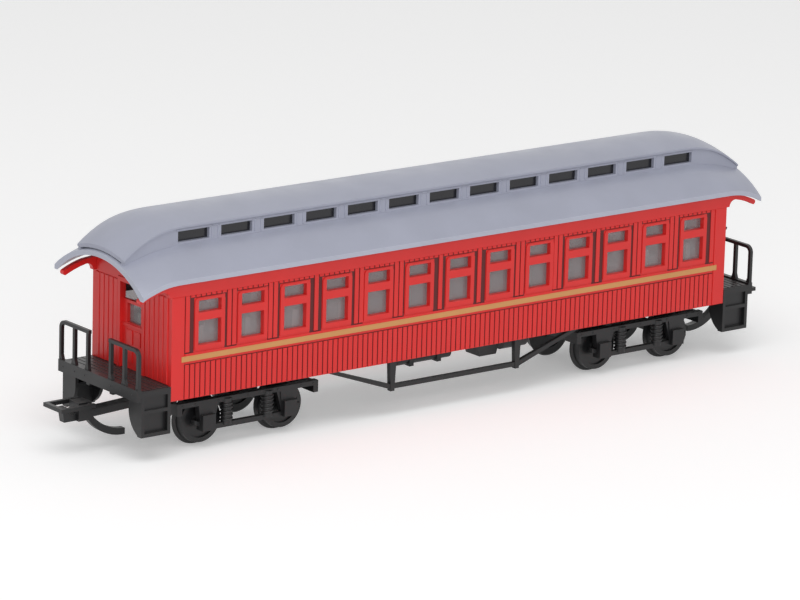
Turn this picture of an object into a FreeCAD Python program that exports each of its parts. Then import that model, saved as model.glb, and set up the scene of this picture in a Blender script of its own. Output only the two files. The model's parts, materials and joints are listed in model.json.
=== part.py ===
import FreeCAD, Part
import os
from math import sqrt

# HO scale (1:87) model of a wooden clerestory passenger carriage with open end platforms.
# X runs along the carriage, Y across it, Z up, in millimetres.
# Z = 0 is the floor under the wheel flanges, and X = Y = 0 is the middle of the carriage.
# The front is the +X end, which carries the hand brake, so left is +Y.

V = FreeCAD.Vector
X_AXIS = V(1, 0, 0)
Y_AXIS = V(0, 1, 0)
Z_AXIS = V(0, 0, 1)
ENDS = ("front", "rear")
SIDES = ("left", "right")

# ---------------------------------------------------------------- driving dimensions
# Track and wheels
back_to_back = 14.4         # clear width between the two wheels of an axle
tread_dia = 10.5
flange_height = 0.8
flange_width = 0.8
wheel_width = 2.8
axle_dia = 2.0
running_clearance = 0.05    # radial clearance of axles, pivots and hinge pins

# Body
body_length = 157.4
body_width = 30.6
wall_thickness = 1.0
body_bottom_height = 12.2   # this and every height below is measured from the rail top
floor_height = 15.6
letterboard_bottom_height = 35.4
eave_height = 38.6
letterboard_relief = 0.3
fit_gap = 0.05              # gap between two mouldings that are pressed together

# Side windows
window_count = 13
window_pitch = 11.45
window_width = 6.0
lower_pane = (23.9, 29.4)
upper_pane = (31.2, 33.9)
frame_margin = 1.0
frame_relief = 0.25
glass_thickness = 0.5

# Belt rail, the pale strip under the windows
belt_bottom_height = 20.7
belt_width = 1.2
belt_relief = 0.35
belt_end_inset = 2.6

# End wall and door
end_wall_thickness = 1.2
doorway_width = 8.4
doorway_top_height = 35.0
casing_width = 1.0
casing_relief = 0.3
door_recess = 0.6
door_thickness = 0.8
door_top_height = 31.1
door_window = (26.0, 30.4)
door_stile = 1.5

# Roof
roof_overhang = 8.9         # of the roof past the end walls
roof_width = 34.2
rim_height = 1.0
rim_width = 1.1
foot_height = 45.1          # where the clerestory wall stands on the lower roof
droop_inset = 8.7           # the roof sweeps down from this far inside the end walls
eave_droop_inset = 0.7
foot_droop = 3.1
eave_droop = 2.5
clerestory_width = 17.3
clerestory_wall = 0.9
clerestory_top_height = 48.8
clerestory_inset = 0.5      # the clerestory stops this far short of the roof's end
deck_overhang = 0.35
deck_rise = 1.8
deck_thickness = 0.9
deck_end_rise = 1.4
deck_end_step = 0.5
clerestory_window_width = 8.3
clerestory_window = (45.6, 48.0)
roof_slot_inset = 3.7       # of the opening under the clerestory, inside the end walls

# Platforms
platform_reach = 8.9        # from the end wall to the outer face of the end beam
beam_thickness = 1.2
beam_top_height = 16.05
beam_height = 2.7
platform_slab = 1.4
sill_spacing = 9.0
sill_width = 1.2
sill_depth = 1.6

# Steps
step_depth = 5.0
step_bottom_height = 5.2
step_plate = 0.8
tread_thickness = 0.8
middle_tread_height = 10.4

# Railings and hand brake
railing_height = 9.0
rail_bar = 0.8
railing_gap = 7.6           # gangway between the two railings of one end
railing_foot = 1.7
railing_foot_rise = 1.2
brake_staff_height = 11.2
brake_staff_dia = 0.8
brake_foot_dia = 1.2
brake_handle_length = 5.2

# Underframe
chassis_thickness = 1.5
chassis_side_gap = 0.15
truss_spacing = 28.0
truss_bar = 1.0
queen_post_spacing = 35.6
truss_low_height = 6.3
truss_reach = 67.6
queen_post_width = 1.8
battery_box_x = (8.0, 15.2)
battery_box_y = (-11.5, -6.5)
battery_box_drop = 3.6      # from the underside of the floor, as are the drops below
battery_box_slope = 1.2
cylinder_x = (19.5, 26.5)
cylinder_y = -5.5
cylinder_dia = 4.2
cylinder_drop = 2.6
cylinder_cap_dia = 2.2
reservoir_x = (-12.0, 3.0)
reservoir_y = -7.5
reservoir_dia = 3.2
reservoir_drop = 2.0
strap_width = 1.2
strap_inset = 3.0

# Bogies
bogie_spacing = 112.0
wheelbase = 22.0
bogie_length = 38.0
side_frame_spacing = 21.8   # between the inner faces of the two side frames
side_frame_thickness = 1.6
side_frame_top_height = 10.3
side_bar = 1.1
truss_bottom_height = 3.3
end_beam_height = 1.9
end_beam_width = 1.3
bolster_width = 7.2
bolster_thickness = 1.6
pivot_dia = 3.0
pivot_head_dia = 5.4
pivot_head_thickness = 0.8
bogie_gap = 0.12            # between the bolster and what bears on it above and below
axlebox_width = 3.4
axlebox_height = 3.6
axlebox_relief = 0.9
spring_dia = 2.4
spring_pitch = 11.0

# Couplers
drawbar_height = 8.0
drawbar_width = 3.0
drawbar_thickness = 1.6
coupler_overhang = 11.6     # of the coupling loop past the end beam
loop_length = 8.0
loop_width = 7.2
loop_bar = 0.9
head_length = 3.4
head_width = 3.8
head_height = 3.2
hook_height = 2.2
loop_pin_dia = 0.9
loop_pin_drop = 0.9         # from the nominal top of the head
head_drop = 1.2             # from the drawbar to the underside of the head
tail_reach = 10.5
tail_drop = 6.0

# Inside
seat_rows = 12
seat_pitch = 12.6
seat_height = 27.6
seat_back = 1.4
seat_base_height = 20.2
seat_base_length = 4.2
aisle_width = 6.0
weight_size = (96.0, 20.0, 1.6)

# ---------------------------------------------------------------- derived places
rail_z = flange_height


def z(height):
    """Turn a height above the rail top into a Z of the model."""
    return rail_z + height


half_length = body_length / 2
half_width = body_width / 2
skin_y = half_width - frame_relief          # outer face of the plain wall
inner_y = skin_y - wall_thickness
end_face_x = half_length
end_inner_x = half_length - end_wall_thickness
beam_face_x = half_length + platform_reach
roof_half = half_length + roof_overhang
droop_start = half_length - droop_inset
eave_droop_start = half_length - eave_droop_inset
roof_slot_half = half_length - roof_slot_inset
coupler_reach = beam_face_x + coupler_overhang
roof_side = roof_width / 2
foot_y = clerestory_width / 2
axle_z = z(tread_dia / 2)
floor_z = z(floor_height)
chassis_bottom = z(body_bottom_height)
chassis_top = chassis_bottom + chassis_thickness
railing_x = beam_face_x - beam_thickness / 2


# ---------------------------------------------------------------- small shape helpers
def box(x0, x1, y0, y1, z0, z1):
    """Box between two corners, given low and high along each axis."""
    return Part.makeBox(x1 - x0, y1 - y0, z1 - z0, V(x0, y0, z0))


def rod(start, end, dia):
    """Round bar between two points."""
    return Part.makeCylinder(dia / 2, (end - start).Length, start, end - start)


def extrude(edges, direction):
    """Solid swept from a closed outline of edges along a vector."""
    return Part.Face(Part.Wire(edges)).extrude(direction)


def polygon(points, direction):
    """Solid swept from a closed polygon along a vector."""
    return Part.Face(Part.makePolygon(points + points[:1])).extrude(direction)


def plate_y(points, y0, y1):
    """Flat plate with an outline of (x, z) points, between two values of y."""
    return polygon([V(x, y0, h) for x, h in points], V(0, y1 - y0, 0))


def plate_x(points, x0, x1):
    """Flat plate with an outline of (y, z) points, between two values of x."""
    return polygon([V(x0, y, h) for y, h in points], V(x1 - x0, 0, 0))


def line(a, b):
    return Part.LineSegment(a, b).toShape()


def arc(a, mid, b):
    return Part.Arc(a, mid, b).toShape()


def spline(points):
    curve = Part.BSplineCurve()
    curve.interpolate(points)
    return curve.toShape()


def fuse(shapes):
    """Join shapes into one clean solid."""
    return shapes[0].multiFuse(shapes[1:]).removeSplitter()


def to_end(shape, end):
    """Turn a shape made for the front end half a turn for the rear end."""
    if end == "front":
        return shape
    return shape.rotated(V(0, 0, 0), Z_AXIS, 180)


def to_side(shape, side):
    """Mirror a shape made for the left side to the right side."""
    if side == "left":
        return shape
    return shape.mirror(V(0, 0, 0), Y_AXIS)


def export(name, shape):
    """Write one node, made of one or more separate solids."""
    shape.exportStep("parts/" + name + ".step")


# ---------------------------------------------------------------- roof lines
def droop(x, start, amount, power):
    """How far a roof line has swept down at a distance x from the middle."""
    share = max(0.0, (abs(x) - start) / (roof_half - start))
    return amount * share ** power


def eave_z(x):
    """Underside of the lower roof at its edge."""
    return z(eave_height) - droop(x, eave_droop_start, eave_droop, 2)


def foot_z(x):
    """Lower roof's surface at the foot of the clerestory wall."""
    return z(foot_height) - droop(x, droop_start, foot_droop, 2)


def deck_edge_z(x):
    """Underside of the upper deck along the clerestory wall."""
    fall = clerestory_top_height - foot_height + foot_droop - deck_end_step
    return z(clerestory_top_height) - droop(x, droop_start, fall, 2.4)


def crown(y0, z0, y1, z1):
    """Centre height and radius of the arch through (±y0, z0) and (±y1, z1)."""
    centre = (y0 ** 2 - y1 ** 2 + z0 ** 2 - z1 ** 2) / (2 * (z0 - z1))
    return centre, sqrt(y0 ** 2 + (z0 - centre) ** 2)


def roof_arch(x):
    """Centre height and radius of the lower roof's outer arch at x."""
    return crown(roof_side, eave_z(x) + rim_height, foot_y, foot_z(x))


def ceiling_arch(x):
    """Centre height and radius of the lower roof's inner arch at x."""
    centre, radius = roof_arch(x)
    edge = roof_side - rim_width
    top = centre + radius - rim_width
    rise = top - eave_z(x)
    inner = (edge ** 2 + rise ** 2) / (2 * rise)
    return top - inner, inner


def arch_z(arch, y):
    """Height of an arch at y."""
    centre, radius = arch
    return centre + sqrt(radius ** 2 - y ** 2)


def lower_roof_section(x):
    """Closed outline of the lower roof's shell at x."""
    eave = eave_z(x)
    edge = roof_side - rim_width
    outer = roof_arch(x)
    inner = ceiling_arch(x)
    corners = [V(x, roof_side, eave + rim_height), V(x, roof_side, eave), V(x, edge, eave)]
    mirrored = [V(p.x, -p.y, p.z) for p in corners]
    edges = [arc(mirrored[0], V(x, 0, arch_z(outer, 0)), corners[0])]
    edges += [line(corners[0], corners[1]), line(corners[1], corners[2])]
    edges += [arc(corners[2], V(x, 0, arch_z(inner, 0)), mirrored[2])]
    edges += [line(mirrored[2], mirrored[1]), line(mirrored[1], mirrored[0])]
    return Part.Wire(edges)


def deck_section(x):
    """Closed outline of the upper deck's shell at x."""
    edge = foot_y + deck_overhang
    low = deck_edge_z(x)
    lip = deck_thickness / 2
    rise = deck_rise - droop(x, droop_start, deck_rise - deck_end_rise, 1)
    inner = foot_y - clerestory_wall
    corners = [V(x, edge, low + lip), V(x, edge, low), V(x, inner, low)]
    mirrored = [V(p.x, -p.y, p.z) for p in corners]
    edges = [arc(mirrored[0], V(x, 0, low + lip + rise), corners[0])]
    edges += [line(corners[0], corners[1]), line(corners[1], corners[2])]
    edges += [arc(corners[2], V(x, 0, low + lip + rise - deck_thickness), mirrored[2])]
    edges += [line(mirrored[2], mirrored[1]), line(mirrored[1], mirrored[0])]
    return Part.Wire(edges)


def swept_shell(section, end_x):
    """Shell with a straight middle and two swept ends, from one section function."""
    steps = 7
    stations = [droop_start + (end_x - droop_start) * i / steps for i in range(steps + 1)]
    end = Part.makeLoft([section(x) for x in stations], True, False)
    middle = Part.Face(section(-droop_start)).extrude(V(2 * droop_start, 0, 0))
    return fuse([middle, end, to_end(end, "rear")])


def lower_roof():
    """Arched lower roof, open under the clerestory between the swept ends."""
    slot = foot_y - clerestory_wall
    reach = roof_slot_half
    well = box(-reach, reach, -slot, slot, z(eave_height), z(clerestory_top_height))
    return swept_shell(lower_roof_section, roof_half).cut(well)


def clerestory_wall_left(roof):
    """Clerestory wall with its row of windows, standing on the lower roof."""
    end_x = roof_half - clerestory_inset
    steps = 8
    sweep = [droop_start + (end_x - droop_start) * i / steps for i in range(steps + 1)]
    top = [V(x, 0, deck_edge_z(x) - fit_gap) for x in sweep]
    foot = [V(x, 0, foot_z(x) - rim_width / 2) for x in sweep]
    flip = [V(-p.x, 0, p.z) for p in top]
    flip_foot = [V(-p.x, 0, p.z) for p in foot]
    edges = [line(flip[0], top[0]), spline(top), line(top[-1], foot[-1])]
    edges += [spline(foot[::-1]), line(foot[0], flip_foot[0]), spline(flip_foot)]
    edges += [line(flip_foot[-1], flip[-1]), spline(flip[::-1])]
    wall = extrude(edges, V(0, clerestory_wall, 0)).translated(V(0, foot_y - clerestory_wall, 0))
    low, high = clerestory_window
    half = clerestory_window_width / 2
    holes = [box(x - half, x + half, 0, roof_side, z(low), z(high)) for x in window_places()]
    return wall.cut(Part.makeCompound(holes)).cut(roof)


def upper_roof(roof):
    """Upper deck over the clerestory, swept down to the lower roof at both ends."""
    return swept_shell(deck_section, roof_half - clerestory_inset).cut(roof)


def clerestory_glazing():
    """Two dark strips behind the clerestory windows."""
    low, high = clerestory_window
    outer = foot_y - clerestory_wall - fit_gap
    reach = roof_slot_half - fit_gap
    strip = box(-reach, reach, outer - glass_thickness, outer, z(low) - 0.4, z(high) + 0.4)
    return Part.makeCompound([strip, to_side(strip, "right")])


# ---------------------------------------------------------------- body
def window_places():
    """Window centres along X, the same for both rows."""
    first = -(window_count - 1) / 2
    return [(first + i) * window_pitch for i in range(window_count)]


def window_frame(x):
    """Raised frame round the two panes of one window, with rounded top corners."""
    half = window_width / 2 + frame_margin
    low = z(lower_pane[0] - frame_margin)
    high = z(upper_pane[1] + 0.6)
    blank = box(x - half, x + half, skin_y - 0.2, skin_y + frame_relief, low, high)
    corners = [e for e in blank.Edges if is_top_corner(e, high)]
    return blank.makeFillet(frame_margin, corners)


def is_top_corner(edge, high):
    """True for an edge that runs along Y at the given height."""
    ends = [v.Point for v in edge.Vertexes]
    return all(abs(p.z - high) < 0.01 for p in ends) and abs(ends[0].y - ends[1].y) > 0.1


def bracket_arm():
    """Curved arm that carries the letterboard on under the end of the roof."""
    gap = 0.15
    arm = 1.1
    tip = roof_half - 0.5
    bend = end_face_x + 3.0
    over = [V(x, 0, eave_z(x) - gap) for x in (bend, bend + 2, bend + 4, tip)]
    under = [V(p.x - 0.35, 0, p.z - arm) for p in over[::-1]]
    root = V(end_face_x - 1, 0, z(letterboard_bottom_height))
    heel = V(end_face_x + 0.7, 0, root.z)
    crook = V(end_face_x + 1.05, 0, root.z + 0.95)
    nose = V(tip + 0.1, 0, over[-1].z - arm * 0.75)
    start = V(end_face_x - 1, 0, eave_z(end_face_x) - gap)
    edges = [line(root, heel), arc(heel, crook, under[-1]), spline(under[::-1])]
    edges += [arc(under[0], nose, over[-1]), spline(over[::-1]), line(over[0], start)]
    edges += [line(start, root)]
    depth = wall_thickness + letterboard_relief
    return extrude(edges, V(0, depth, 0)).translated(V(0, inner_y, 0))


def side_wall():
    """Left side wall with window frames, letterboard and bracket arms."""
    top = arch_z(ceiling_arch(half_length), skin_y) - fit_gap
    wall = box(-half_length, half_length, inner_y, skin_y, z(body_bottom_height), top)
    board = box(-half_length, half_length, skin_y - 0.2, skin_y + letterboard_relief,
                z(letterboard_bottom_height), eave_z(0) - fit_gap)
    pieces = [wall, board] + [window_frame(x) for x in window_places()]
    arm = bracket_arm()
    pieces += [arm, arm.mirror(V(0, 0, 0), X_AXIS)]
    half = window_width / 2
    holes = []
    for x in window_places():
        for low, high in (lower_pane, upper_pane):
            holes.append(box(x - half, x + half, 0, roof_side, z(low), z(high)))
    return fuse(pieces).cut(Part.makeCompound(holes))


def belt_rail():
    """Raised strip along the left side, under the windows."""
    reach = half_length - belt_end_inset
    return box(-reach, reach, skin_y, skin_y + belt_relief,
               z(belt_bottom_height), z(belt_bottom_height + belt_width))


def side_glazing():
    """Clear strip behind the left side's windows."""
    outer = inner_y - fit_gap
    reach = half_length - end_wall_thickness - 1.0
    return box(-reach, reach, outer - glass_thickness, outer,
               z(lower_pane[0] - 0.8), z(upper_pane[1] + 0.8))


def end_wall():
    """Front end wall with its doorway, topped by the ceiling's arch."""
    edge = inner_y - fit_gap
    arch = ceiling_arch(end_face_x)
    low = floor_z + fit_gap
    top = arch_z(arch, edge) - fit_gap
    edges = [line(V(0, -edge, low), V(0, edge, low)), line(V(0, edge, low), V(0, edge, top))]
    edges += [arc(V(0, edge, top), V(0, 0, arch_z(arch, 0) - fit_gap), V(0, -edge, top))]
    edges += [line(V(0, -edge, top), V(0, -edge, low))]
    wall = extrude(edges, V(end_wall_thickness, 0, 0)).translated(V(end_inner_x, 0, 0))
    half = doorway_width / 2
    casing = box(end_face_x - 0.2, end_face_x + casing_relief, -half - casing_width,
                 half + casing_width, low, z(doorway_top_height + casing_width))
    doorway = box(0, beam_face_x, -half, half, 0, z(doorway_top_height))
    return fuse([wall, casing]).cut(doorway)


def end_door():
    """Front door leaf with its window and two panels, under an open transom."""
    half = doorway_width / 2 - fit_gap
    face = end_face_x - door_recess
    low = floor_z + fit_gap
    leaf = box(face - door_thickness, face, -half, half, low, z(door_top_height))
    panel_low = low + door_stile
    panel_high = z(door_window[0]) - door_stile
    middle = (panel_low + panel_high) / 2
    panels = []
    for y0, y1 in ((-half + door_stile, -0.4), (0.4, half - door_stile)):
        panels.append(box(face - 0.1, face + 0.2, y0, y1, panel_low, middle - 0.4))
        panels.append(box(face - 0.1, face + 0.2, y0, y1, middle + 0.4, panel_high))
    sill = box(face - 0.1, face + 0.3, -half, half, z(door_window[0] - 0.8), z(door_window[0] - 0.2))
    side = half - door_stile
    hole = box(0, beam_face_x, -side, side, z(door_window[0]), z(door_window[1]))
    return fuse([leaf, sill] + panels).cut(hole)


def door_glass():
    """Panes behind the windows of both end doors."""
    side = doorway_width / 2 - door_stile / 2
    back = end_face_x - door_recess - door_thickness - fit_gap
    pane = box(back - glass_thickness, back, -side, side,
               z(door_window[0] - 0.5), z(door_window[1] + 0.5))
    return Part.makeCompound([pane, to_end(pane, "rear")])


# ---------------------------------------------------------------- underframe
def chassis():
    """Floor plate with a boss over each bogie."""
    reach = end_inner_x - fit_gap
    side = inner_y - chassis_side_gap
    pieces = [box(-reach, reach, -side, side, chassis_bottom, chassis_top)]
    for sign in (1, -1):
        centre = V(sign * bogie_spacing / 2, 0, bolster_top() + bogie_gap)
        pieces.append(rod(centre, V(centre.x, 0, chassis_bottom + 0.2), pivot_head_dia + 3))
        pieces.append(rod(V(centre.x, 0, pin_head_top()), V(centre.x, 0, chassis_top),
                          pivot_dia - 2 * running_clearance))
    return fuse(pieces)


def bolster_top():
    return z(side_frame_top_height)


def pin_head_top():
    """Top of the washer head that holds a bogie on its pin."""
    return bolster_top() - bolster_thickness - bogie_gap


def pivot_head():
    """Head under the front bogie's bolster, on the end of the chassis pin."""
    top = V(bogie_spacing / 2, 0, pin_head_top())
    return rod(top - V(0, 0, pivot_head_thickness), top, pivot_head_dia)


def floor_weight():
    """Plain steel plate on the chassis that gives the light model its weight."""
    length, width, thick = weight_size
    return box(-length / 2, length / 2, -width / 2, width / 2, chassis_top, chassis_top + thick)


def platform():
    """Front platform floor with its end beam and two sills."""
    slab_bottom = floor_z - platform_slab
    side = inner_y - chassis_side_gap
    tongue = box(end_inner_x - 2, end_face_x, -side, side, chassis_top, floor_z)
    floor = box(end_face_x + fit_gap, beam_face_x - beam_thickness / 2, -half_width, half_width,
                slab_bottom, floor_z)
    neck = box(end_inner_x, end_face_x + 1, -side, side, slab_bottom, floor_z)
    beam = box(beam_face_x - beam_thickness, beam_face_x, -half_width, half_width,
               z(beam_top_height - beam_height), z(beam_top_height))
    pieces = [tongue, floor, neck, beam]
    for sign in (1, -1):
        middle = sign * sill_spacing / 2
        pieces.append(box(end_inner_x, beam_face_x - beam_thickness / 2,
                          middle - sill_width / 2, middle + sill_width / 2,
                          slab_bottom - sill_depth, slab_bottom))
    return fuse(pieces)


def steps():
    """Front left steps: two curved side plates, a riser and two treads."""
    top = floor_z - platform_slab
    low = z(step_bottom_height)
    outer = half_width
    inner = outer - step_depth
    x0 = end_face_x + fit_gap
    x1 = beam_face_x - beam_thickness - fit_gap
    edges = [line(V(0, outer, low), V(0, outer, top)), line(V(0, outer, top), V(0, inner, top))]
    edges += [line(V(0, inner, top), V(0, inner, z(middle_tread_height)))]
    edges += [arc(V(0, inner, z(middle_tread_height)),
                  V(0, inner + step_depth * 0.22, (z(middle_tread_height) + low) / 2 - 0.4),
                  V(0, outer - 1.0, low))]
    edges += [line(V(0, outer - 1.0, low), V(0, outer, low))]
    plate = extrude(edges, V(step_plate, 0, 0))
    pieces = [plate.translated(V(x0, 0, 0)), plate.translated(V(x1 - step_plate, 0, 0))]
    pieces.append(box(x0, x1, outer - 1.4, outer - 0.6, z(middle_tread_height), top))
    pieces.append(box(x0, x1, inner + 0.6, outer,
                      z(middle_tread_height), z(middle_tread_height) + tread_thickness))
    pieces.append(box(x0, x1, outer - 1.0, outer, low, low + tread_thickness))
    pieces.append(box(x0, x1, outer - 1.6, outer - 1.0, low, z(middle_tread_height) + 0.1))
    return fuse(pieces)


def railing():
    """Front left railing: three posts on splayed feet under one bar with a round corner."""
    low = z(beam_top_height)
    top = low + railing_height
    half = rail_bar / 2
    outer = half_width - half
    inner = railing_gap / 2
    bend = 1.4
    posts = [outer, (outer + inner) / 2 + 0.3, inner + 0.6]
    x = railing_x
    pieces = [box(x - half, x + half, inner, outer - bend, top - rail_bar, top)]
    for y in posts:
        post_top = top - bend if y == outer else top - half
        pieces.append(box(x - half, x + half, y - half, y + half, low, post_top))
        inward = min(railing_foot / 2, y - inner)
        outward = min(railing_foot / 2, half_width - y)
        foot = [(y - inward, low), (y + outward, low), (y + half, low + railing_foot_rise),
                (y - half, low + railing_foot_rise)]
        pieces.append(plate_x(foot, x - half, x + half))
    ring_centre = V(x - half, outer - bend, top - bend)
    ring = Part.makeCylinder(bend + half, rail_bar, ring_centre, X_AXIS)
    ring = ring.cut(Part.makeCylinder(bend - half, rail_bar, ring_centre, X_AXIS))
    quarter = box(x - 1, x + 1, outer - bend, outer + 1, top - bend, top + 1)
    corner = ring.common(quarter).translated(V(0, 0, -half))
    pieces.append(corner)
    return fuse(pieces)


def brake_staff():
    """Hand brake column with its cross handle, beside the front right railing."""
    low = z(beam_top_height)
    top = low + brake_staff_height
    y = -(railing_gap / 2 - brake_foot_dia / 2 - fit_gap)
    x = railing_x
    reach = brake_handle_length / 2
    column = rod(V(x, y, low), V(x, y, top), brake_staff_dia)
    foot = rod(V(x, y, low), V(x, y, low + 0.8), brake_foot_dia)
    handle = rod(V(x, y - reach, top), V(x, y + reach, top), brake_staff_dia)
    return fuse([column, foot, handle])


def truss_rod():
    """Left truss rod with its two queen posts, hung under the side of the floor."""
    y0 = truss_spacing / 2 - truss_bar / 2
    y1 = y0 + truss_bar
    top = chassis_bottom
    low = z(truss_low_height)
    post_x = queen_post_spacing / 2
    end_x = truss_reach / 2
    bar = truss_bar
    outline = [(-end_x - 2.5, top), (-end_x, top), (-post_x, low + bar / 2), (post_x, low + bar / 2),
               (end_x, top), (end_x + 2.5, top), (post_x + 0.6, low - bar / 2),
               (-post_x - 0.6, low - bar / 2)]
    pieces = [plate_y(outline, y0, y1)]
    half = queen_post_width / 2
    for sign in (1, -1):
        middle = sign * post_x
        post = [(middle - half, top), (middle + half, top), (middle + half * 0.6, low - bar),
                (middle - half * 0.6, low - bar)]
        pieces.append(plate_y(post, y0 - 0.1, y1 + 0.1))
    return fuse(pieces)


def equipment_box():
    """Battery box under the floor, with sloped ends."""
    x0, x1 = battery_box_x
    low = chassis_bottom - battery_box_drop
    outline = [(x0, chassis_bottom), (x1, chassis_bottom), (x1 - battery_box_slope, low),
               (x0 + battery_box_slope, low)]
    return plate_y(outline, *battery_box_y)


def brake_cylinder():
    """Brake cylinder on its bracket under the floor."""
    x0, x1 = cylinder_x
    centre_z = chassis_bottom - cylinder_drop
    cap_x = x1 - 0.1
    drum = rod(V(x0, cylinder_y, centre_z), V(x1, cylinder_y, centre_z), cylinder_dia)
    cap = rod(V(cap_x, cylinder_y, centre_z), V(cap_x + 1.0, cylinder_y, centre_z), cylinder_cap_dia)
    bracket = box(x0 + 2.0, x1 - 2.0, cylinder_y - 1.0, cylinder_y + 1.0, centre_z, chassis_bottom)
    return fuse([drum, cap, bracket])


def air_reservoir():
    """Long air reservoir on two straps under the floor."""
    x0, x1 = reservoir_x
    centre_z = chassis_bottom - reservoir_drop
    drum = rod(V(x0, reservoir_y, centre_z), V(x1, reservoir_y, centre_z), reservoir_dia)
    half = reservoir_dia / 2 + 0.1
    pieces = [drum]
    for x in (x0 + strap_inset, x1 - strap_inset - strap_width):
        pieces.append(box(x, x + strap_width, reservoir_y - half, reservoir_y + half,
                          centre_z - half - 0.1, chassis_bottom))
    return fuse(pieces)


def seats():
    """Two moulded rows of benches whose backs show through the windows."""
    base_z = chassis_top + weight_size[2] + fit_gap
    first = -(seat_rows - 1) / 2
    outer = inner_y - glass_thickness - 4 * fit_gap - 0.8
    inner = aisle_width / 2
    reach = -first * seat_pitch + seat_base_length
    pieces = [box(-reach, reach, inner, outer, base_z, base_z + 0.8)]
    for i in range(seat_rows):
        x = (first + i) * seat_pitch
        back = box(x - seat_back / 2, x + seat_back / 2, inner, outer, base_z, z(seat_height))
        top = [e for e in back.Edges if is_top_corner(e, z(seat_height))]
        pieces.append(back.makeFillet(seat_back * 0.45, top))
        pieces.append(box(x - seat_base_length, x + seat_base_length, inner, outer,
                          base_z, z(seat_base_height)))
    row = fuse(pieces)
    return Part.makeCompound([row, to_side(row, "right")])


# ---------------------------------------------------------------- bogies
def wheelset(x):
    """Axle with its two flanged wheels, as one turned piece."""
    inner = back_to_back / 2
    flange = tread_dia / 2 + flange_height
    tread = tread_dia / 2
    hub = axle_dia / 2 + 0.6
    web_in = 0.5
    tip = side_frame_spacing / 2 + side_frame_thickness * 0.6
    rim = tread - 1.1
    outline = [(0, 0), (axle_dia / 2, 0), (axle_dia / 2, inner - 0.4), (hub, inner - 0.4),
               (hub, inner + web_in), (rim, inner + web_in), (rim, inner), (flange - 0.3, inner),
               (flange, inner + 0.3), (flange - 0.1, inner + flange_width - 0.2),
               (tread + 0.05, inner + flange_width), (tread - 0.05, inner + wheel_width),
               (rim, inner + wheel_width), (rim, inner + wheel_width - web_in),
               (hub, inner + wheel_width - web_in), (hub, inner + wheel_width + 0.1),
               (axle_dia / 2, inner + wheel_width + 0.1), (axle_dia / 2, tip - 0.6),
               (0.3, tip), (0, tip)]
    points = [V(0, y, r) for r, y in outline]
    face = Part.Face(Part.makePolygon(points + points[:1]))
    half = face.revolve(V(0, 0, 0), Y_AXIS, 360)
    whole = fuse([half, half.mirror(V(0, 0, 0), Y_AXIS)])
    return whole.translated(V(x, 0, axle_z))


def side_frame():
    """Left side frame of the front bogie, about the bogie's own centre."""
    top = z(side_frame_top_height)
    half = bogie_length / 2
    box_x = wheelbase / 2
    low = z(truss_bottom_height)
    y0 = side_frame_spacing / 2
    y1 = y0 + side_frame_thickness
    pieces = [box(-half, half, y0, y1, top - side_bar, top)]
    arch = [(-box_x - 3.2, low + 1.6), (-box_x + 2.2, low), (box_x - 2.2, low),
            (box_x + 3.2, low + 1.6), (box_x + 3.2, low + 2.6), (box_x - 1.8, low + side_bar),
            (-box_x + 1.8, low + side_bar), (-box_x - 3.2, low + 2.6)]
    pieces.append(plate_y(arch, y0 + 0.2, y1 - 0.2))
    for sign in (1, -1):
        x = sign * box_x
        pieces.append(box(x - axlebox_width / 2, x + axlebox_width / 2, y0, y1 + axlebox_relief,
                          axle_z - axlebox_height / 2, axle_z + axlebox_height / 2))
        leg = [(x - 2.4, top - 0.4), (x + 2.4, top - 0.4), (x + 1.6, low + 0.6), (x - 1.6, low + 0.6)]
        pieces.append(plate_y(leg, y0, y1))
        spring_x = sign * spring_pitch / 2
        pieces.append(rod(V(spring_x, (y0 + y1) / 2 + 0.2, low + 0.6),
                          V(spring_x, (y0 + y1) / 2 + 0.2, top - 0.4), spring_dia))
        tie = [(x - sign * 2.0, top - side_bar), (x - sign * 3.2, top - side_bar),
               (x - sign * 1.6, low + 0.5), (x - sign * 0.6, low + 0.5)]
        pieces.append(plate_y(tie, y0 + 0.2, y1 - 0.2))
    return fuse(pieces)


def bogie_frame():
    """Front bogie: two side frames, end beams and a bored bolster."""
    frame = side_frame()
    half = bogie_length / 2
    reach = side_frame_spacing / 2 + 0.3
    top = bolster_top()
    pieces = [frame, to_side(frame, "right")]
    pieces.append(box(-bolster_width / 2, bolster_width / 2, -reach, reach,
                      top - bolster_thickness, top))
    for sign in (1, -1):
        x0, x1 = sorted((sign * half, sign * (half - end_beam_width)))
        pieces.append(box(x0, x1, -reach - side_frame_thickness + 0.3,
                          reach + side_frame_thickness - 0.3,
                          top - side_bar - end_beam_height + 0.3, top - 0.3))
    pieces.append(box(bolster_width / 2 - 1, half, -drawbar_width / 2, drawbar_width / 2,
                      top - bolster_thickness, top - 0.3))
    frame = fuse(pieces)
    bore = rod(V(0, 0, 0), V(0, 0, z(eave_height)), pivot_dia)
    bearing = axle_dia / 2 + running_clearance
    depth = side_frame_spacing / 2 + side_frame_thickness * 0.6 + 0.3
    holes = [bore]
    for x in (wheelbase / 2, -wheelbase / 2):
        holes.append(rod(V(x, -depth, axle_z), V(x, depth, axle_z), 2 * bearing))
    return frame.cut(Part.makeCompound(holes)).translated(V(bogie_spacing / 2, 0, 0))


def loop_pin():
    """Centre of the pin that the coupling loop swings on, at the front end."""
    return V(coupler_reach - loop_length, 0, z(drawbar_height + head_height - loop_pin_drop))


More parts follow.
